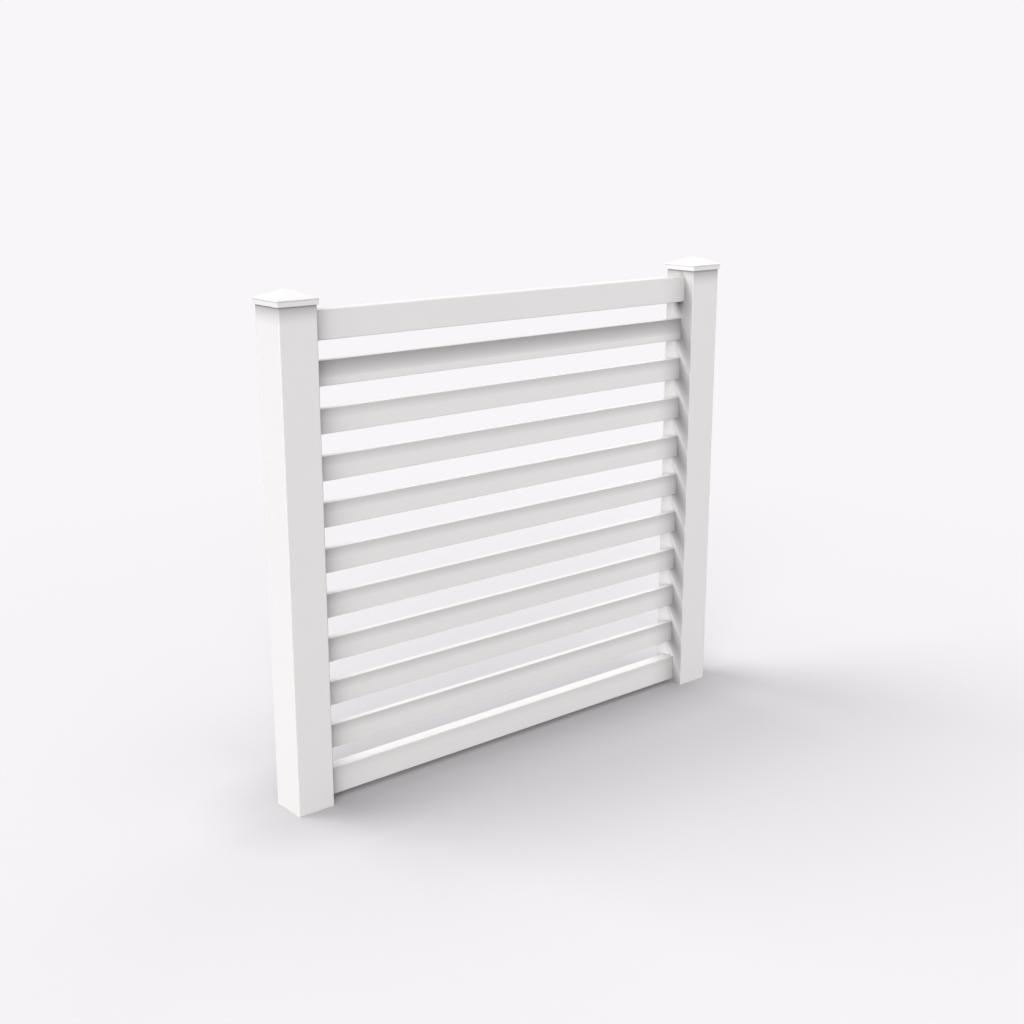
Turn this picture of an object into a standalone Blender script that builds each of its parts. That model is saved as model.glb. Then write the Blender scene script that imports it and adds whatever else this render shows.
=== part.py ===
"""Horizontal picket fence panel.

Two hollow square posts carry two hollow rails and nine flat hollow pickets, all of white vinyl.
Rails and pickets pass through routed holes in the posts' inner faces. A ring of spring wire hooks
into each rail's end inside its post, a folded steel channel stiffens the bottom rail, and a low
pyramid cap slides over each post's top.

Lengths are in metres. X runs along the fence, Y through it and Z up. The origin is on the ground,
halfway between the posts.
"""

import math

import bmesh
import bpy
from mathutils import Vector

# Fits and tools
CLEARANCE = 0.0003
OVERRUN = 0.004
WELD_DISTANCE = 0.00001
FILLET_LIMIT_SHARE = 0.45
SHARP_ANGLE = math.radians(40)

# Posts
CLEAR_SPAN = 1.542
POST_SIDE = 0.127
POST_WALL = 0.0038
POST_CORNER = 0.004
POST_INNER_CORNER = 0.003
POST_REVEAL = 0.0202

# Caps
CAP_GRIP = 0.016
CAP_WALL = 0.0035
CAP_DECK = 0.0027
CAP_EAVE = 0.0018
CAP_EAVE_DEPTH = 0.003
CAP_RISE = 0.0255
CAP_ROOF = 0.003
CAP_SEAT = 0.006
CAP_EDGE = 0.001

# Rails
GROUND_GAP = 0.0135
RAIL_HEIGHT = 0.0889
RAIL_DEPTH = 0.0445
RAIL_WALL = 0.0025
RAIL_CORNER = 0.003
RAIL_INNER_CORNER = 0.001
RAIL_REACH = 0.038
WEEP_COUNT = 4
WEEP_RADIUS = 0.0032

# Pickets
PICKET_COUNT = 9
PICKET_HEIGHT = 0.0762
PICKET_DEPTH = 0.0222
PICKET_WALL = 0.002
PICKET_CORNER = 0.0025
PICKET_INNER_CORNER = 0.0008
PICKET_REACH = 0.030
BOTTOM_SPACE = 0.0609
PICKET_SPACE = 0.0655
TOP_SPACE = 0.0594

# Stiffener and lock rings
CHANNEL_SHEET = 0.0015
WIRE_RADIUS = 0.00125
HOOK_REACH = 0.003

# Steps in a quarter turn of each round corner, and sides of a drilled hole
POST_STEPS = 5
SECTION_STEPS = 4
INNER_STEPS = 2
WIRE_STEPS = 4
HOLE_SIDES = 16

# Colours
VINYL = (0.84, 0.84, 0.82)
ZINC = (0.55, 0.57, 0.58)

# Heights that stack up from the ground
bottom_rail_z = GROUND_GAP + RAIL_HEIGHT / 2
lowest_picket_z = GROUND_GAP + RAIL_HEIGHT + BOTTOM_SPACE + PICKET_HEIGHT / 2
picket_pitch = PICKET_HEIGHT + PICKET_SPACE
highest_picket_z = lowest_picket_z + (PICKET_COUNT - 1) * picket_pitch
top_rail_z = highest_picket_z + PICKET_HEIGHT / 2 + TOP_SPACE + RAIL_HEIGHT / 2
cap_foot_z = top_rail_z + RAIL_HEIGHT / 2 + POST_REVEAL
post_height = cap_foot_z + CAP_GRIP

# Places along the fence, measured from its middle
post_x = CLEAR_SPAN / 2 + POST_SIDE / 2
inside_of_wall_x = CLEAR_SPAN / 2 + POST_WALL
ring_x = inside_of_wall_x + CLEARANCE + WIRE_RADIUS

for old in list(bpy.data.objects):
    bpy.data.objects.remove(old)

fence_parts = bpy.data.collections.new("horizontal_picket_fence")
cutters = bpy.data.collections.new("cutters")
bpy.context.scene.collection.children.link(fence_parts)
bpy.context.scene.collection.children.link(cutters)
fence = bpy.data.objects.new("fence_origin", None)
fence_parts.objects.link(fence)


def path(corners, steps, closed=True):
    """Points of a right-angled path whose corners (x, y, radius) are rounded by arcs."""
    places = [Vector((x, y)) for x, y, radius in corners]
    count = len(corners)
    points = []
    for index, (x, y, radius) in enumerate(corners):
        at_end = not closed and index in (0, count - 1)
        if at_end or radius == 0:
            points.append(places[index])
            continue
        back = places[index - 1] - places[index]
        ahead = places[(index + 1) % count] - places[index]
        radius = min(radius, back.length * FILLET_LIMIT_SHARE, ahead.length * FILLET_LIMIT_SHARE)
        back.normalize()
        ahead.normalize()
        centre = places[index] + radius * (back + ahead)
        for step in range(steps + 1):
            angle = math.pi / 2 * step / steps
            points.append(centre - radius * (ahead * math.cos(angle) + back * math.sin(angle)))
    return points


def rectangle(width, height, radius, steps, rise=0):
    """Outline of a round-cornered rectangle whose middle is raised along Y."""
    right = width / 2
    top = rise + height / 2
    foot = rise - height / 2
    corners = (
        (right, foot, radius),
        (right, top, radius),
        (-right, top, radius),
        (-right, foot, radius),
    )
    return path(corners, steps)


def extruded(name, outlines, length):
    """Mesh of flat outlines drawn out along Z, half the length each way."""
    curve = bpy.data.curves.new(name, "CURVE")
    curve.dimensions = "2D"
    curve.fill_mode = "BOTH"
    curve.extrude = length / 2
    for outline in outlines:
        spline = curve.splines.new("POLY")
        spline.points.add(len(outline) - 1)
        for point, place in zip(spline.points, outline):
            point.co = (place.x, place.y, 0, 1)
        spline.use_cyclic_u = True
    drawn = bpy.data.objects.new(name, curve)
    fence_parts.objects.link(drawn)
    solid = bpy.data.meshes.new_from_object(drawn.evaluated_get(bpy.context.evaluated_depsgraph_get()))
    bpy.data.objects.remove(drawn)
    cleaned = bmesh.new()
    cleaned.from_mesh(solid)
    bmesh.ops.remove_doubles(cleaned, verts=cleaned.verts, dist=WELD_DISTANCE)
    bmesh.ops.recalc_face_normals(cleaned, faces=cleaned.faces)
    cleaned.to_mesh(solid)
    cleaned.free()
    solid.name = name
    solid.materials.clear()
    return solid


def finish(name, colour, roughness, metallic):
    """Material with one colour, roughness and metallic value."""
    material = bpy.data.materials.new(name)
    material.use_nodes = True
    shader = material.node_tree.nodes["Principled BSDF"]
    shader.inputs["Base Color"].default_value = (*colour, 1)
    shader.inputs["Roughness"].default_value = roughness
    shader.inputs["Metallic"].default_value = metallic
    return material


def place(name, data, location, rotation=(0, 0, 0), colour=VINYL, roughness=0.4, metallic=0.0):
    """Named part of the fence, with its own material on the object."""
    part = bpy.data.objects.new(name, data)
    part.location = location
    part.rotation_euler = rotation
    part.parent = fence
    fence_parts.objects.link(part)
    if not data.materials:
        data.materials.append(None)
    part.material_slots[0].link = "OBJECT"
    part.material_slots[0].material = finish(name, colour, roughness, metallic)
    return part


def cut(part, name, data, location, rotation=(0, 0, 0)):
    """Take a cutter's shape out of a part."""
    cutter = bpy.data.objects.new(name, data)
    cutter.location = location
    cutter.rotation_euler = rotation
    cutter.hide_render = True
    cutter.display_type = "WIRE"
    cutters.objects.link(cutter)
    difference = part.modifiers.new(name, "BOOLEAN")
    difference.operation = "DIFFERENCE"
    difference.solver = "EXACT"
    difference.object = cutter


def shade(data):
    """Smooth shading with the real edges kept sharp."""
    data.shade_smooth()
    data.set_sharp_from_angle(angle=SHARP_ANGLE)


def drill(name, radius, length):
    """Round cutter along Z."""
    data = bpy.data.meshes.new(name)
    cylinder = bmesh.new()
    bmesh.ops.create_cone(
        cylinder,
        cap_ends=True,
        segments=HOLE_SIDES,
        radius1=radius,
        radius2=radius,
        depth=length,
    )
    cylinder.to_mesh(data)
    cylinder.free()
    return data


# A turn that lays a section drawn in the XY plane along the fence: its X goes to Y, its Y to Z
ALONG_FENCE = (math.pi / 2, 0, math.pi / 2)


def picket_heights():
    """Middle of each picket, from the top one down."""
    return [highest_picket_z - index * picket_pitch for index in range(PICKET_COUNT)]


def make_posts():
    """Both posts: one hollow section, routed on the side that faces the panel."""
    section = extruded(
        "post_section",
        (
            rectangle(POST_SIDE, POST_SIDE, POST_CORNER, POST_STEPS),
            rectangle(
                POST_SIDE - 2 * POST_WALL,
                POST_SIDE - 2 * POST_WALL,
                POST_INNER_CORNER,
                INNER_STEPS,
            ),
        ),
        post_height,
    )
    shade(section)
    holes = [
        rectangle(
            PICKET_DEPTH + 2 * CLEARANCE,
            PICKET_HEIGHT + 2 * CLEARANCE,
            PICKET_CORNER + CLEARANCE,
            SECTION_STEPS,
            height,
        )
        for height in picket_heights()
    ]
    holes += [
        rectangle(
            RAIL_DEPTH + 2 * CLEARANCE,
            RAIL_HEIGHT + 2 * CLEARANCE,
            RAIL_CORNER + CLEARANCE,
            SECTION_STEPS,
            height,
        )
        for height in (bottom_rail_z, top_rail_z)
    ]
    routing = extruded("routing", holes, POST_WALL + 2 * OVERRUN)
    for side, name in ((-1, "left_post"), (1, "right_post")):
        post = place(name, section, (side * post_x, 0, post_height / 2))
        middle_of_wall_x = CLEAR_SPAN / 2 + POST_WALL / 2
        cut(post, name + "_routing", routing, (side * middle_of_wall_x, 0, 0), ALONG_FENCE)


def make_caps():
    """Both caps: a square skirt over the post, a seat on its rim, an eave and a pyramid roof."""
    bore = POST_SIDE / 2 + CLEARANCE
    skirt = bore + CAP_WALL
    eave = skirt + CAP_EAVE
    attic = bore - CAP_SEAT
    seat_z = CAP_GRIP + CLEARANCE
    deck_z = seat_z + CAP_DECK
    peak_z = deck_z + CAP_RISE
    attic_z = deck_z + CAP_RISE * (eave - attic) / eave - CAP_ROOF
    profile = (
        (0, peak_z),
        (eave, deck_z),
        (eave, deck_z - CAP_EAVE_DEPTH),
        (skirt, deck_z - CAP_EAVE_DEPTH - CAP_EAVE),
        (skirt, 0),
        (bore, 0),
        (bore, seat_z),
        (attic, seat_z),
        (attic, attic_z),
        (0, peak_z - CAP_ROOF),
    )
    data = bpy.data.meshes.new("cap_profile")
    half_section = bmesh.new()
    corner_factor = math.sqrt(2)
    points = [half_section.verts.new((half_width * corner_factor, 0, z)) for half_width, z in profile]
    for first, second in zip(points, points[1:]):
        half_section.edges.new((first, second))
    half_section.to_mesh(data)
    half_section.free()
    for side, name in ((-1, "left_post_cap"), (1, "right_post_cap")):
        cap = place(name, data, (side * post_x, 0, cap_foot_z), (0, 0, math.pi / 4))
        turn = cap.modifiers.new("square_turn", "SCREW")
        turn.steps = 4
        turn.render_steps = 4
        turn.use_merge_vertices = True
        turn.merge_threshold = WELD_DISTANCE
        turn.use_smooth_shade = False
        edges = cap.modifiers.new("soft_edges", "BEVEL")
        edges.width = CAP_EDGE
        edges.segments = 2
        edges.limit_method = "ANGLE"


def make_rails():
    """Both rails: hollow sections with hook holes at the ends and drain holes in the lower one."""
    section = extruded(
        "rail_section",
        (
            rectangle(RAIL_DEPTH, RAIL_HEIGHT, RAIL_CORNER, SECTION_STEPS),
            rectangle(
                RAIL_DEPTH - 2 * RAIL_WALL,
                RAIL_HEIGHT - 2 * RAIL_WALL,
                RAIL_INNER_CORNER,
                INNER_STEPS,
            ),
        ),
        CLEAR_SPAN + 2 * RAIL_REACH,
    )
    shade(section)
    hook_drill = drill("hook_drill", WIRE_RADIUS + CLEARANCE, RAIL_DEPTH + 2 * OVERRUN)
    weep_drill = drill("weep_drill", WEEP_RADIUS, RAIL_WALL + 2 * OVERRUN)
    for name, height in (("top_rail", top_rail_z), ("bottom_rail", bottom_rail_z)):
        rail = place(name, section, (0, 0, height), ALONG_FENCE)
        for side, end in ((-1, "left"), (1, "right")):
            hole = f"{name}_{end}_hook_hole"
            cut(rail, hole, hook_drill, (side * ring_x, 0, height), (math.pi / 2, 0, 0))
        if name == "bottom_rail":
            floor_z = height - RAIL_HEIGHT / 2 + RAIL_WALL / 2
            for index in range(WEEP_COUNT):
                along = CLEAR_SPAN * ((index + 0.5) / WEEP_COUNT - 0.5)
                cut(rail, f"weep_hole_{index + 1}", weep_drill, (along, 0, floor_z))


def make_pickets():
    """The level pickets, numbered from the top."""
    section = extruded(
        "picket_section",
        (
            rectangle(PICKET_DEPTH, PICKET_HEIGHT, PICKET_CORNER, SECTION_STEPS),
            rectangle(
                PICKET_DEPTH - 2 * PICKET_WALL,
                PICKET_HEIGHT - 2 * PICKET_WALL,
                PICKET_INNER_CORNER,
                INNER_STEPS,
            ),
        ),
        CLEAR_SPAN + 2 * PICKET_REACH,
    )
    shade(section)
    for index, height in enumerate(picket_heights()):
        place(f"picket_{index + 1}", section, (0, 0, height), ALONG_FENCE)


def make_stiffener():
    """Folded channel, open downwards, that fills the bottom rail between its two lock rings."""
    right = RAIL_DEPTH / 2 - RAIL_WALL - CLEARANCE
    top = RAIL_HEIGHT / 2 - RAIL_WALL - CLEARANCE
    inner_right = right - CHANNEL_SHEET
    inner_top = top - CHANNEL_SHEET
    outer_bend = RAIL_INNER_CORNER + CHANNEL_SHEET
    corners = (
        (right, -top, 0),
        (right, top, outer_bend),
        (-right, top, outer_bend),
        (-right, -top, 0),
        (-inner_right, -top, 0),
        (-inner_right, inner_top, RAIL_INNER_CORNER),
        (inner_right, inner_top, RAIL_INNER_CORNER),
        (inner_right, -top, 0),
    )
    section = extruded("channel_section", (path(corners, INNER_STEPS),), 2 * inside_of_wall_x)
    shade(section)
    place(
        "bottom_rail_stiffener",
        section,
        (0, 0, bottom_rail_z),
        ALONG_FENCE,
        ZINC,
        roughness=0.45,
        metallic=0.9,
    )


def make_lock_rings():
    """Spring wire over each rail end, hooked into both of its sides behind the post's wall."""
    side_y = RAIL_DEPTH / 2 + CLEARANCE + WIRE_RADIUS
    over_z = RAIL_HEIGHT / 2 + CLEARANCE + WIRE_RADIUS
    tip_y = RAIL_DEPTH / 2 - RAIL_WALL - HOOK_REACH
    bend = WIRE_RADIUS + CLEARANCE
    corners = (
        (-tip_y, 0, 0),
        (-side_y, 0, bend),
        (-side_y, over_z, bend),
        (side_y, over_z, bend),
        (side_y, 0, bend),
        (tip_y, 0, 0),
    )
    wire = bpy.data.curves.new("lock_ring_wire", "CURVE")
    wire.dimensions = "3D"
    wire.bevel_depth = WIRE_RADIUS
    wire.bevel_resolution = 2
    wire.use_fill_caps = True
    route = path(corners, WIRE_STEPS, closed=False)
    spline = wire.splines.new("POLY")
    spline.points.add(len(route) - 1)
    for point, spot in zip(spline.points, route):
        point.co = (0, spot.x, spot.y, 1)
    for rail, height in (("top", top_rail_z), ("bottom", bottom_rail_z)):
        for side, end in ((-1, "left"), (1, "right")):
            place(
                f"{rail}_{end}_lock_ring",
                wire,
                (side * ring_x, 0, height),
                colour=ZINC,
                roughness=0.35,
                metallic=1.0,
            )


make_posts()
make_caps()
make_rails()
make_pickets()
make_stiffener()
make_lock_rings()
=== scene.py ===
import math

import bmesh
import bpy
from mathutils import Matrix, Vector


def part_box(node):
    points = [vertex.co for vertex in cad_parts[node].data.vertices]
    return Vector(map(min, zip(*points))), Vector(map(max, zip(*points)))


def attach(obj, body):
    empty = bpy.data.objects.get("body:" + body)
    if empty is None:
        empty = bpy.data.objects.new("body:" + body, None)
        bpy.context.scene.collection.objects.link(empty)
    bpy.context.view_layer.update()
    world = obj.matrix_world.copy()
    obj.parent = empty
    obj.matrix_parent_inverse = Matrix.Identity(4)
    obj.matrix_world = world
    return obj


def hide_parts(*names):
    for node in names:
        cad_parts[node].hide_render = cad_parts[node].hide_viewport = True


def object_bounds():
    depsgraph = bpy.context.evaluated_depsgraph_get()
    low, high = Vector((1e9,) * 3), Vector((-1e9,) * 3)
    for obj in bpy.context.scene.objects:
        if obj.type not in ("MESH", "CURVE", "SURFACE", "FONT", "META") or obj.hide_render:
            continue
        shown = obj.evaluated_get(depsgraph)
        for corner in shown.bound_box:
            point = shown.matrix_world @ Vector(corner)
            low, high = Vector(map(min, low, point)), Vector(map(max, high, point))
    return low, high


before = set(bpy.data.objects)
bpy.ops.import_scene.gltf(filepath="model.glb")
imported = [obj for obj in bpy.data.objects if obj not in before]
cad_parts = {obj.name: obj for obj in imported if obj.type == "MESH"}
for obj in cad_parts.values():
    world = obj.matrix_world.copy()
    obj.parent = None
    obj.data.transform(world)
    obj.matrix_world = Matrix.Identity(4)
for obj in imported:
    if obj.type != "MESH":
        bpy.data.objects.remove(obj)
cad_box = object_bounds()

# Posts
# Two square hollow extrusions of white vinyl stand on the ground. Each is sawn square at both ends
# and routed on the side that faces the panel, so that the ends of the rails and pickets pass
# through its wall and lie hidden inside.

post_wall = 0.0038
post_corner = 0.004
post_corner_steps = 6
saw_ease = 0.0005
saw_ease_steps = 2
fit_gap = 0.0003
cut_overrun = 0.004
rail_corner = 0.003
picket_corner = 0.0025
section_steps = 6
sharp_angle = math.radians(35)
flat_weight = 100
sawn_angle = math.radians(57)
same_place = 0.00001
same_way = 0.99


def pick(piece, kind, wanted):
    """In edit mode, select the verts, edges or faces that wanted() accepts, and nothing else."""
    bpy.ops.mesh.select_mode(type=kind)
    bpy.ops.mesh.select_all(action="DESELECT")
    mesh = bmesh.from_edit_mesh(piece.data)
    group = {"VERT": mesh.verts, "EDGE": mesh.edges, "FACE": mesh.faces}[kind]
    for item in group:
        if wanted(item):
            item.select_set(True)
    mesh.select_flush_mode()
    bmesh.update_edit_mesh(piece.data)


def block(name, low, high):
    """A box with its place and size in its mesh, left in edit mode."""
    bpy.ops.object.select_all(action="DESELECT")
    bpy.ops.mesh.primitive_cube_add(size=1, location=(low + high) / 2, scale=high - low)
    piece = bpy.context.object
    piece.name = name
    piece.data.name = name
    bpy.ops.object.transform_apply(location=True, rotation=True, scale=True)
    bpy.ops.object.mode_set(mode="EDIT")
    return piece


def runs_along(axis):
    """A test for the edges that lie along one axis."""
    def test(edge):
        span = edge.verts[1].co - edge.verts[0].co
        return abs(span[axis]) > same_way * span.length
    return test


def apply_modifier(piece, kind, **settings):
    """Add one modifier to a piece and apply it."""
    bpy.context.view_layer.objects.active = piece
    modifier = piece.modifiers.new(kind.lower(), kind)
    for setting, value in settings.items():
        setattr(modifier, setting, value)
    bpy.ops.object.modifier_apply(modifier=modifier.name)


def extrusion(name, low, high, axis, corner, wall, steps):
    """A hollow vinyl section along one axis: long edges rounded by the die, ends sawn and eased."""
    piece = block(name, low, high)
    pick(piece, "FACE", lambda face: abs(face.normal[axis]) > same_way)
    bpy.ops.mesh.delete(type="ONLY_FACE")
    pick(piece, "EDGE", runs_along(axis))
    bpy.ops.mesh.bevel(offset=corner, segments=steps, affect="EDGES", clamp_overlap=False)
    bpy.ops.object.mode_set(mode="OBJECT")
    apply_modifier(piece, "SOLIDIFY", thickness=wall, offset=-1, use_even_offset=True)
    bpy.ops.object.mode_set(mode="EDIT")

    def sawn(edge):
        at_end = all(
            min(abs(vert.co[axis] - low[axis]), abs(vert.co[axis] - high[axis])) < same_place
            for vert in edge.verts
        )
        return at_end and len(edge.link_faces) == 2 and edge.calc_face_angle() > sawn_angle

    pick(piece, "EDGE", sawn)
    bpy.ops.mesh.bevel(offset=saw_ease, segments=saw_ease_steps, affect="EDGES")
    bpy.ops.object.mode_set(mode="OBJECT")
    return piece


def cut_out(piece, cutters):
    """Take the cutters' joined shape out of a piece."""
    bpy.ops.object.select_all(action="DESELECT")
    for cutter in cutters:
        cutter.select_set(True)
    bpy.context.view_layer.objects.active = cutters[0]
    if len(cutters) > 1:
        bpy.ops.object.join()
    cutter = bpy.context.object
    apply_modifier(piece, "BOOLEAN", operation="DIFFERENCE", solver="EXACT", object=cutter)
    bpy.data.objects.remove(cutter)


def smooth(piece):
    """Smooth the round edges, keep the sharp ones, and let the flats set the normals."""
    bpy.ops.object.select_all(action="DESELECT")
    piece.select_set(True)
    bpy.context.view_layer.objects.active = piece
    bpy.ops.object.shade_smooth_by_angle(angle=sharp_angle)
    apply_modifier(piece, "WEIGHTED_NORMAL", keep_sharp=True, weight=flat_weight)


def copied(piece, name):
    """A copy of a finished piece with its own mesh, left selected."""
    bpy.ops.object.select_all(action="DESELECT")
    piece.select_set(True)
    bpy.context.view_layer.objects.active = piece
    bpy.ops.object.duplicate(linked=False)
    twin = bpy.context.object
    twin.name = name
    twin.data.name = name
    return twin


def routing(name, node, corner, wall_low, wall_high):
    """A cutter through the post's wall for one rail or picket, a little larger than its section."""
    low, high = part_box(node)
    gap = Vector((0, fit_gap, fit_gap))
    low = Vector((wall_low, low.y, low.z)) - gap
    high = Vector((wall_high, high.y, high.z)) + gap
    cutter = block(name, low, high)
    pick(cutter, "EDGE", runs_along(0))
    bpy.ops.mesh.bevel(offset=corner + fit_gap, segments=section_steps, affect="EDGES")
    bpy.ops.object.mode_set(mode="OBJECT")
    return cutter


picket_nodes = sorted(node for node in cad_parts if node.startswith("picket_"))
post_low, post_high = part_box("left_post")
left_post = extrusion(
    "left_post_extrusion",
    post_low,
    post_high,
    2,
    post_corner,
    post_wall,
    post_corner_steps,
)
wall_from = post_high.x - post_wall - cut_overrun
wall_to = post_high.x + cut_overrun
holes = [routing(node + "_hole", node, picket_corner, wall_from, wall_to) for node in picket_nodes]
holes += [
    routing(node + "_hole", node, rail_corner, wall_from, wall_to)
    for node in ("top_rail", "bottom_rail")
]
cut_out(left_post, holes)
smooth(left_post)

right_post = copied(left_post, "right_post_extrusion")
bpy.ops.transform.rotate(value=math.pi, orient_axis="Z", center_override=(0, 0, 0))
bpy.ops.object.transform_apply(location=True, rotation=True, scale=True)


class Varying:
    """A number that varies over a surface. Sums written on it add the Math nodes that work it out."""

    def __init__(self, finish, socket):
        self.finish = finish
        self.socket = socket

    def maths(self, operation, *operands):
        return self.finish.node("ShaderNodeMath", {"operation": operation}, dict(enumerate(operands)))

    def __add__(self, other):
        return self.maths("ADD", self, other)

    __radd__ = __add__

    def __sub__(self, other):
        return self.maths("SUBTRACT", self, other)

    def __rsub__(self, other):
        return self.maths("SUBTRACT", other, self)

    def __mul__(self, other):
        return self.maths("MULTIPLY", self, other)

    __rmul__ = __mul__

    def __neg__(self):
        return 0 - self

    def __truediv__(self, other):
        return self.maths("DIVIDE", self, other)

    def __pow__(self, other):
        return self.maths("POWER", self, other)

    def __mod__(self, other):
        return self.maths("FLOORED_MODULO", self, other)

    def __abs__(self):
        return self.maths("ABSOLUTE", self)

    def no_less_than(self, least):
        return self.maths("MAXIMUM", self, least)

    def clamped(self):
        return self.maths("MINIMUM", self, 1).no_less_than(0)

    def fading(self, reach, falloff=1):
        """1 where this distance is 0, and down to 0 where it comes to the reach."""
        return (1 - self / reach).clamped() ** falloff


class Finish:
    """The recipe of one surface: a material whose nodes are added one by one."""

    def __init__(self, name, tree=None):
        if tree is None:
            self.material = bpy.data.materials.new(name)
            self.material.use_nodes = True
            tree = self.material.node_tree
        self.tree = tree
        self.tree.nodes.clear()

    def node(self, kind, settings, inputs, output=0):
        """Add one node: its settings first, then the values or links of its sockets."""
        made = self.tree.nodes.new(kind)
        for setting, value in settings.items():
            setattr(made, setting, value)
        for place, value in inputs.items():
            socket = made.inputs[place]
            if isinstance(value, Varying):
                self.tree.links.new(value.socket, socket)
            else:
                socket.default_value = value
        return Varying(self, made.outputs[output]) if made.outputs else None

    def where(self):
        """The place on the object, in metres."""
        return self.node("ShaderNodeTexCoord", {}, {}, "Object")

    def stretched(self, scale):
        """The place on the object with each axis scaled, so that a pattern is drawn out along one."""
        return self.node("ShaderNodeMapping", {}, {"Vector": self.where(), "Scale": scale})

    def along(self, axis):
        """The place along one axis, in metres."""
        return self.node("ShaderNodeSeparateXYZ", {}, {"Vector": self.where()}, axis)

    def noise(self, place, scale, detail):
        inputs = {"Vector": place, "Scale": scale, "Detail": detail}
        return self.node("ShaderNodeTexNoise", {}, inputs, "Fac")

    def mixed(self, share, first, second):
        """A colour between two, by a share that may vary."""
        settings = {"data_type": "RGBA", "blend_type": "MIX"}
        return self.node("ShaderNodeMix", settings, {0: share, 6: first, 7: second}, 2)

    def bump(self, relief, depth, below=None):
        """Relief from a height in the range 0 to 1, whose full depth is given in metres."""
        inputs = {"Height": relief, "Strength": 1, "Distance": depth}
        if below is not None:
            inputs["Normal"] = below
        return self.node("ShaderNodeBump", {}, inputs)

    def surface(self, **inputs):
        """The shader that all of this feeds."""
        named = {name.replace("_", " "): value for name, value in inputs.items()}
        shader = self.node("ShaderNodeBsdfPrincipled", {}, named)
        self.node("ShaderNodeOutputMaterial", {}, {"Surface": shader})
        return self.material


vinyl_white = (0.80, 0.787, 0.784, 1)
vinyl_chalk = (0.775, 0.762, 0.759, 1)
# The grey that all the painted shade and painted shadows mix in.
painted_shade_grey = (0.1, 0.098, 0.0985, 1)
height_shade_per_metre = 0.025
cloud_scale = 5
chalk_scale = 140
peel_scale = 420
line_relief = 0.00003
peel_relief = 0.00002
vinyl_gloss_index = 1.53


def vinyl(name, draw_scale, painted_shade=None):
    """White vinyl. draw_scale stretches the die's fine lines along the section, and painted_shade gives
    the layers of painted shade that grey it, each from 0 to 1. All of it is painted a little darker the
    higher it stands, a painted shade that evens out the light from top to bottom."""
    finish = Finish(name)
    cloud = finish.noise(finish.where(), cloud_scale, 2)
    chalk = finish.noise(finish.where(), chalk_scale, 4)
    lines = finish.noise(finish.stretched(draw_scale), 1, 3)
    chalkiness = (cloud * 0.5 + chalk * 0.3 + lines * 0.2).clamped()
    colour = finish.mixed(chalkiness, vinyl_white, vinyl_chalk)
    # Painted shade: a little darker the higher it stands, to even out the light, then each painted
    # shade layer.
    shade_layer = finish.along("Z") * height_shade_per_metre
    for layer in (shade_layer, *painted_shade(finish)) if painted_shade else (shade_layer,):
        colour = finish.mixed(layer.clamped(), colour, painted_shade_grey)
    peel = finish.noise(finish.where(), peel_scale, 2)
    relief = finish.bump(peel, peel_relief, finish.bump(lines, line_relief))
    return finish.surface(
        Base_Color=colour,
        Roughness=0.36 + 0.08 * chalk + 0.06 * lines,
        IOR=vinyl_gloss_index,
        Normal=relief,
    )


drawn_upright = (700, 700, 4)
cap_foot_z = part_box("left_post_cap")[0].z
# Painted shadow under the cap's overhang, shorter on the inner face, and a painted crease shade right
# at its foot.
cap_shadow_reach = 0.06
cap_shadow_falloff = 1.8
cap_shadow_strength = 0.58
inner_cap_shadow_reach = 0.022
inner_cap_shadow_strength = 0.45
cap_crease_shade_reach = 0.006
cap_crease_shade_falloff = 0.5
cap_crease_shade_strength = 0.39
# Painted shade on the post's inner face, and painted shadows that the rails and pickets cast on it,
# slanting down from their fronts.
inner_face_shade = 0.21
front_half_shade = 0.046
front_fade = 0.0185
front_corner_lighter = 0.08
front_corner_lighter_reach = 0.056
cast_shadow_slope = 1.53
cast_shadow_falloff = 0.5
picket_shadow_drop = 0.017
picket_shadow_reach = 0.088
picket_shadow_strength = 0.65
rail_shadow_lift = 0.005
rail_shadow_above = 0.041
rail_shadow_below = 0.2
rail_shadow_reach = 0.05
rail_shadow_strength = 0.54
# Painted shade spots right under each picket and the top rail.
under_shade_set_back = 0.005
picket_under_shade = (0.054, 0.0164, 0.41)
rail_under_shade = (0.0685, 0.0264, 0.85)
panel_end = -post_high.x
picket_low, picket_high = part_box("picket_1")
picket_middle = (picket_low + picket_high) / 2
picket_pitch = picket_high.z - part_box("picket_2")[1].z
top_rail_low, top_rail_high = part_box("top_rail")
top_rail_middle = (top_rail_low + top_rail_high) / 2


def repeated(level):
    """A height above the first picket, which starts again at each of the pickets under it."""
    from_nearest = (level + picket_pitch / 2) % picket_pitch - picket_pitch / 2
    return from_nearest.no_less_than(level)


def under_shade_spot(finish, below, spot):
    """A painted shade spot on the post right under a rail or picket, where its shade falls. The spot
    gives how far down it reaches, how far it spreads and how dark it is."""
    fall, spread, strength = spot
    return abs(below).fading(fall) * abs(finish.along("Y") - under_shade_set_back).fading(spread) * strength


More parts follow.
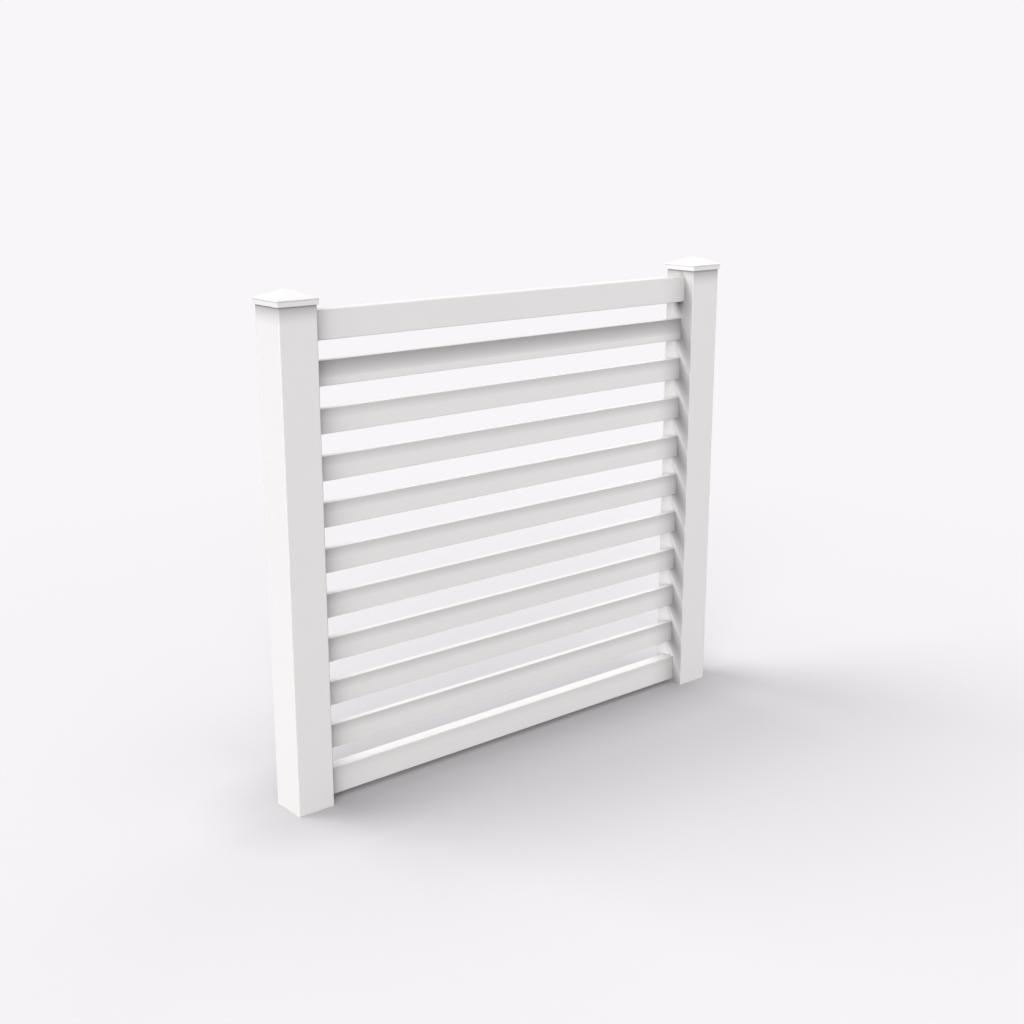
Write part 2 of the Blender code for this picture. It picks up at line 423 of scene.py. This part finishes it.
def post_painted_shade(finish):
    """Painted shade under the cap's foot and on the inner face. It is darkest under each rail and
    picket, and in a painted shadow that slants down from each one's front."""
    height = finish.along("Z")
    under_cap = cap_foot_z - height
    cap_shadow = under_cap.fading(cap_shadow_reach, cap_shadow_falloff) * cap_shadow_strength
    cap_crease_shade = under_cap.fading(cap_crease_shade_reach, cap_crease_shade_falloff) * cap_crease_shade_strength
    before_picket = picket_low.y - finish.along("Y")
    before_rail = top_rail_low.y - finish.along("Y")
    level = repeated(height - picket_middle.z + picket_shadow_drop + before_picket * cast_shadow_slope)
    picket_shadow = abs(level).fading(picket_pitch / 2, cast_shadow_falloff) * picket_shadow_strength
    picket_shadow = picket_shadow * before_picket.fading(picket_shadow_reach)
    level = height - top_rail_middle.z - rail_shadow_lift + before_rail * cast_shadow_slope
    rail_shadow = level.fading(rail_shadow_above, cast_shadow_falloff)
    rail_shadow = rail_shadow * (-level).fading(rail_shadow_below, cast_shadow_falloff)
    rail_shadow = rail_shadow * before_rail.fading(rail_shadow_reach) * rail_shadow_strength
    lighter_by_front_corner = before_picket.fading(front_corner_lighter_reach) * front_corner_lighter
    front = front_half_shade - lighter_by_front_corner + picket_shadow.no_less_than(rail_shadow)
    on_front_half = (-before_picket).fading(front_fade)
    under_shades = under_shade_spot(finish, repeated(height - picket_low.z), picket_under_shade)
    under_shades = under_shades + under_shade_spot(finish, height - top_rail_low.z, rail_under_shade)
    on_inner_face = (abs(finish.along("X")) - panel_end).fading(post_corner)
    inner_cap_shadow = under_cap.fading(inner_cap_shadow_reach) * inner_cap_shadow_strength
    return (
        cap_shadow + (inner_cap_shadow - cap_shadow) * on_inner_face,
        cap_crease_shade,
        (inner_face_shade + front * on_front_half + under_shades) * on_inner_face,
    )


# The posts' vinyl carries the painted shade and painted shadows above.
post_vinyl = vinyl("post_vinyl", drawn_upright, post_painted_shade)
for post, node in ((left_post, "left_post"), (right_post, "right_post")):
    post.data.materials.clear()
    post.data.materials.append(post_vinyl)
    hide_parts(node)
    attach(post, "root")

# Rails
# A hollow extrusion 3-1/2 in tall runs from post to post at the top of the panel and another just
# above the ground. A ring of spring wire is hooked through two small holes near each end. The lower
# rail has drain holes in its underside.

rail_wall = 0.0025
hook_hole_radius = 0.00155
weep_hole_radius = 0.0032
weep_hole_count = 4
hole_sides = 24


def drill(name, place, radius, length, turn=(0, 0, 0)):
    """A round cutter."""
    bpy.ops.object.select_all(action="DESELECT")
    bpy.ops.mesh.primitive_cylinder_add(
        vertices=hole_sides,
        radius=radius,
        depth=length,
        location=place,
        rotation=turn,
    )
    cutter = bpy.context.object
    cutter.name = name
    bpy.ops.object.transform_apply(location=True, rotation=True, scale=True)
    return cutter


drawn_level = (4, 700, 700)
# Painted shade in the corners where the rails and pickets meet the posts.
left_end_shade_reach = 0.22
right_end_shade_reach = 0.15
left_end_shade_falloff = 1.2
right_end_shade_falloff = 2.5
# Painted shade along the top of the lower rail's face.
rail_top_shade_reach = 0.036
rail_top_shade_falloff = 1.3
rail_top_shade_strength = 0.155
bottom_rail_ends = (0.117, 0.55)
# Painted shade in the top rail's end corners.
top_rail_ends = (0.078, 0.38)


def end_shade(finish, ends):
    """Painted shade in the corners between a rail or picket and the posts: a layer at each end."""
    left, right = ends
    from_left = finish.along("X") + panel_end
    from_right = panel_end - finish.along("X")
    left_layer = from_left.fading(left_end_shade_reach, left_end_shade_falloff) * left
    right_layer = from_right.fading(right_end_shade_reach, right_end_shade_falloff) * right
    return left_layer, right_layer


def on_face(finish, face, corner):
    """1 on the front and rear faces, and 0 from their rounded corners inwards, as on the top."""
    return (face - abs(finish.along("Y"))).fading(corner)


def bottom_rail_shade(finish):
    """Painted shade along the top of the lower rail's face but not on its flat top, and in its end
    corners.
    """
    below_top = bottom_rail_high.z - finish.along("Z")
    shade_layer = below_top.fading(rail_top_shade_reach, rail_top_shade_falloff) * rail_top_shade_strength
    return shade_layer * on_face(finish, bottom_rail_high.y, rail_corner), *end_shade(finish, bottom_rail_ends)


def top_rail_shade(finish):
    """Only the top rail's ends get painted shade, in the corners by the posts."""
    return end_shade(finish, top_rail_ends)


bottom_rail_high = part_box("bottom_rail")[1]
rail_vinyl = {
    "top_rail": vinyl("top_rail_vinyl", drawn_level, top_rail_shade),
    "bottom_rail": vinyl("bottom_rail_vinyl", drawn_level, bottom_rail_shade),
}
for node in ("bottom_rail", "top_rail"):
    low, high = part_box(node)
    middle = (low + high) / 2
    rail = extrusion(node + "_extrusion", low, high, 0, rail_corner, rail_wall, section_steps)
    across = (math.pi / 2, 0, 0)
    through = high.y - low.y + 2 * cut_overrun
    holes = []
    for end in ("left", "right"):
        ring_low, ring_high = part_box(f"{node.split('_')[0]}_{end}_lock_ring")
        place = Vector(((ring_low.x + ring_high.x) / 2, middle.y, middle.z))
        holes.append(drill("hook_hole", place, hook_hole_radius, through, across))
    if node == "bottom_rail":
        span = -2 * post_high.x
        for index in range(weep_hole_count):
            along = span * ((index + 0.5) / weep_hole_count - 0.5)
            place = Vector((along, middle.y, low.z + rail_wall / 2))
            holes.append(drill("weep_hole", place, weep_hole_radius, rail_wall + 2 * cut_overrun))
    cut_out(rail, holes)
    smooth(rail)
    rail.data.materials.clear()
    rail.data.materials.append(rail_vinyl[node])
    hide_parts(node)
    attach(rail, "root")

# Pickets
# Nine flat hollow slats, 3 in by 7/8 in, lie level between the rails with an open gap at each. They
# are cut from one extrusion and held only by the routed holes of the posts.

picket_wall = 0.002
# Painted shade: picket_ends for the corners at the posts, and a band along the top of each picket's
# face, darker on the first, under the top rail.
picket_ends = (0.109, 0.6)
first_picket_band = (0.055, 0.7, 0.65)
picket_band = (0.034, 1, 0.326)


def picket_top_shade(band):
    """A band of painted shade along the top of every picket's face but not on its flat top, and painted
    shade in the end corners. The band gives how far it reaches, how fast it fades and how dark it is."""
    reach, falloff, strength = band

    def shade_layer(finish):
        below_top = (picket_high.z - finish.along("Z")) % picket_pitch
        layer = below_top.fading(reach, falloff) * strength
        return layer * on_face(finish, picket_high.y, picket_corner), *end_shade(finish, picket_ends)

    return shade_layer


first_picket_vinyl = vinyl("first_picket_vinyl", drawn_level, picket_top_shade(first_picket_band))
picket_vinyl = vinyl("picket_vinyl", drawn_level, picket_top_shade(picket_band))
first_picket = extrusion(
    "picket_1_extrusion",
    picket_low,
    picket_high,
    0,
    picket_corner,
    picket_wall,
    section_steps,
)
smooth(first_picket)
for node in picket_nodes:
    if node == "picket_1":
        picket = first_picket
    else:
        picket = copied(first_picket, node + "_extrusion")
        bpy.ops.transform.translate(value=(0, 0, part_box(node)[1].z - picket_high.z))
        bpy.ops.object.transform_apply(location=True, rotation=True, scale=True)
    picket.data.materials.clear()
    picket.data.materials.append(first_picket_vinyl if node == "picket_1" else picket_vinyl)
    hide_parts(node)
    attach(picket, "root")

# Post caps
# A moulded cap is glued over each post's top. It is a low pyramid with a narrow eave, above a
# square skirt that grips the post, and its underside rests on the post's rim.

cap_wall = 0.0035
cap_deck = 0.0027
cap_eave = 0.0018
cap_eave_depth = 0.003
cap_roof = 0.003
cap_seat = 0.006
cap_edge = 0.001
cap_edge_steps = 3
cap_edge_angle = math.radians(15)


def raise_face(lift, grow=1, about=(0, 0, 0)):
    """Extrude the selected face upwards, and widen or narrow it about a centre."""
    bpy.ops.mesh.extrude_region_move(TRANSFORM_OT_translate={"value": (0, 0, lift)})
    if grow != 1:
        bpy.ops.transform.resize(value=(grow, grow, 1), center_override=about)


def level_face(z):
    """A test for the level face at a height."""
    def test(face):
        return abs(face.normal.z) > same_way and abs(face.calc_center_median().z - z) < same_place
    return test


cap_low, cap_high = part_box("left_post_cap")
cap_middle = (cap_low + cap_high) / 2
eave = (cap_high.x - cap_low.x) / 2
skirt = eave - cap_eave
bore = skirt - cap_wall
seat_z = post_high.z + fit_gap
deck_z = seat_z + cap_deck
rise = cap_high.z - deck_z
skirt_top = deck_z - cap_eave_depth - cap_eave
attic = bore - cap_seat
attic_z = deck_z + rise * (eave - attic) / eave - cap_roof

reach = Vector((skirt, skirt, 0))
left_cap = block(
    "left_post_cap_moulding",
    Vector((cap_middle.x, cap_middle.y, cap_low.z)) - reach,
    Vector((cap_middle.x, cap_middle.y, skirt_top)) + reach,
)
pick(left_cap, "FACE", level_face(skirt_top))
raise_face(cap_eave, eave / skirt, cap_middle)
raise_face(cap_eave_depth)
raise_face(rise)
bpy.ops.mesh.merge(type="CENTER")
pick(left_cap, "FACE", level_face(cap_low.z))
bpy.ops.mesh.inset(thickness=cap_wall)
raise_face(seat_z - cap_low.z)
bpy.ops.mesh.inset(thickness=cap_seat)
raise_face(attic_z - seat_z)
raise_face(cap_high.z - cap_roof - attic_z)
bpy.ops.mesh.merge(type="CENTER")
bpy.ops.object.mode_set(mode="OBJECT")
apply_modifier(
    left_cap,
    "BEVEL",
    width=cap_edge,
    segments=cap_edge_steps,
    limit_method="ANGLE",
    angle_limit=cap_edge_angle,
)
smooth(left_cap)
right_cap = copied(left_cap, "right_post_cap_moulding")
bpy.ops.transform.translate(value=(-2 * cap_middle.x, 0, 0))
bpy.ops.object.transform_apply(location=True, rotation=True, scale=True)

moulded_even = (120, 120, 120)
cap_vinyl = vinyl("cap_vinyl", moulded_even)
for cap, node in ((left_cap, "left_post_cap"), (right_cap, "right_post_cap")):
    cap.data.materials.clear()
    cap.data.materials.append(cap_vinyl)
    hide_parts(node)
    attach(cap, "root")

# Hidden steel
# A folded channel of galvanised sheet fills the lower rail between its lock rings, which are bent
# from galvanised spring wire. The posts and the rail hide all five pieces.

zinc_light = (0.62, 0.64, 0.65, 1)
zinc_dark = (0.42, 0.44, 0.46, 1)
sheet_spangle_scale = 120
wire_spangle_scale = 900
dulling_scale = 60
dulling_relief = 0.00002


def galvanised(name, spangle_scale):
    """Zinc that has set in crystals of unlike shade."""
    finish = Finish(name)
    inputs = {"Vector": finish.where(), "Scale": spangle_scale}
    crystal = finish.node("ShaderNodeTexVoronoi", {}, inputs, "Color")
    shade = finish.node("ShaderNodeSeparateColor", {}, {"Color": crystal})
    dulling = finish.noise(finish.where(), dulling_scale, 4)
    colour = finish.mixed((shade * 0.6 + dulling * 0.4).clamped(), zinc_light, zinc_dark)
    return finish.surface(
        Base_Color=colour,
        Metallic=0.9,
        Roughness=0.34 + 0.2 * shade + 0.1 * dulling,
        Normal=finish.bump(dulling, dulling_relief),
    )


sheet_zinc = galvanised("sheet_zinc", sheet_spangle_scale)
wire_zinc = galvanised("wire_zinc", wire_spangle_scale)
for node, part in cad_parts.items():
    if node.endswith("lock_ring") or node == "bottom_rail_stiffener":
        part.data.materials.clear()
        part.data.materials.append(wire_zinc if node.endswith("lock_ring") else sheet_zinc)

# Studio
# The fence stands on a plain pale floor that runs into a backdrop of the same tone. A soft key lamp
# shines from above, behind and left of it, a soft fill lamp from low in front and left, two weaker
# ones from above and one from the right. A painted shadow darkens the floor round the fence's foot.

backdrop_tone = (0.939, 0.922, 0.947, 1)
floor_tone = (0.717, 0.704, 0.723, 1)
floor_bounce = (0.171, 0.171, 0.171, 1)
# Painted shadow on the floor, darkest round the fence's foot and along the panel.
floor_shade_black = (0, 0, 0, 1)
near_floor_shadow = 0.2
near_floor_shadow_reach = 0.3
near_floor_shadow_falloff = 1.2
wide_floor_shadow = 0.045
wide_floor_shadow_reach = 1
floor_shadow_behind = 0.08
floor_shadow_ahead = 0.11
panel_shadow_reach = 0.8
panel_shadow_fade = 0.15
post_reach = cad_box[1][0]
rail_reach = bottom_rail_high.y
floor_reach = 30
floor_clear = 1.2
floor_far = 4.2


def seen(finish):
    """1 for the rays that show a background: from the camera, off gloss and through glass. To the
    rest, which carry light to the fence, the floor is darker than it looks."""
    def ray(output):
        return finish.node("ShaderNodeLightPath", {}, {}, output)
    return (ray("Is Camera Ray") + ray("Is Glossy Ray") + ray("Is Transmission Ray")).clamped()


bpy.ops.object.select_all(action="DESELECT")
bpy.ops.mesh.primitive_plane_add(size=2 * floor_reach, location=(0, 0, 0))
floor = bpy.context.object
floor.name = "studio_floor"
paving = Finish("studio_floor")
from_middle = paving.node("ShaderNodeVectorMath", {"operation": "LENGTH"}, {0: paving.where()}, "Value")
far = ((from_middle - floor_clear) / (floor_far - floor_clear)).clamped()
# Painted shadow: the floor's colour is darker round the fence's foot, and in front of and behind the
# panel.
beyond_end = (abs(paving.along("X")) - post_reach).no_less_than(0)
beyond_rail = (abs(paving.along("Y")) - rail_reach).no_less_than(0)
from_foot = (beyond_end * beyond_end + beyond_rail * beyond_rail) ** 0.5
behind = (paving.along("Y") / rail_reach).clamped()
ahead = (-paving.along("Y") / rail_reach).clamped()
along_panel = (abs(paving.along("X")) - panel_end).fading(panel_shadow_fade)
by_panel = (behind * floor_shadow_behind + ahead * floor_shadow_ahead) * beyond_rail.fading(panel_shadow_reach)
round_foot = from_foot.fading(near_floor_shadow_reach, near_floor_shadow_falloff) * near_floor_shadow
floor_shadow = round_foot + from_foot.fading(wide_floor_shadow_reach) * wide_floor_shadow + by_panel * along_panel
paint = paving.mixed(seen(paving), floor_bounce, paving.mixed(floor_shadow, floor_tone, floor_shade_black))
lit = paving.node("ShaderNodeBsdfDiffuse", {}, {"Color": paint})
plain = paving.node("ShaderNodeEmission", {}, {"Color": backdrop_tone, "Strength": 1})
cover = paving.node("ShaderNodeMixShader", {}, {0: seen(paving) * far, 1: lit, 2: plain})
paving.node("ShaderNodeOutputMaterial", {}, {"Surface": cover})
floor.data.materials.append(paving.material)

room_light = 0.4235
room_tone = (1, 0.995, 0.99, 1)
world = bpy.data.worlds.new("studio_room")
bpy.context.scene.world = world
world.use_nodes = True
room = Finish("studio_room", world.node_tree)
room_glow = room.node("ShaderNodeBackground", {}, {"Color": room_tone, "Strength": room_light})
backdrop = room.node("ShaderNodeBackground", {}, {"Color": backdrop_tone, "Strength": 1})
both = room.node("ShaderNodeMixShader", {}, {0: seen(room), 1: room_glow, 2: backdrop})
room.node("ShaderNodeOutputWorld", {}, {"Surface": both})


def soft_sun(name, towards, strength, spread):
    """A distant soft lamp that shines along a direction."""
    lamp = bpy.data.lights.new(name, "SUN")
    lamp.energy = strength
    lamp.angle = spread
    holder = bpy.data.objects.new(name, lamp)
    bpy.context.scene.collection.objects.link(holder)
    holder.rotation_euler = Vector(towards).to_track_quat("-Z", "Y").to_euler()


lamp_spread = math.radians(45)
key_light = 1.73
back_light = 0.42
front_light = 0.45
fill_light = 2.92
side_light = 0.85
soft_sun("key_lamp", (0.557, -0.557, -0.616), key_light, lamp_spread)
soft_sun("back_lamp", (0, -0.438, -0.899), back_light, lamp_spread)
soft_sun("front_lamp", (0, 0.438, -0.899), front_light, lamp_spread)
soft_sun("fill_lamp", (0.692, 0.692, -0.208), fill_light, lamp_spread)
soft_sun("side_lamp", (-0.92, -0.335, -0.2), side_light, lamp_spread)

camera_place = Vector((-2.9328, -3.4890, 2.0100))
camera_aim = Vector((-0.0024, 0, 0.7929))
camera_lens = 50
camera_film = 36
camera = bpy.data.cameras.new("studio_camera")
camera.lens = camera_lens
camera.sensor_width = camera_film
tripod = bpy.data.objects.new("studio_camera", camera)
bpy.context.scene.collection.objects.link(tripod)
tripod.location = camera_place
tripod.rotation_euler = (camera_aim - camera_place).to_track_quat("-Z", "Y").to_euler()
bpy.context.scene.camera = tripod
bpy.context.scene.view_settings.view_transform = "Standard"
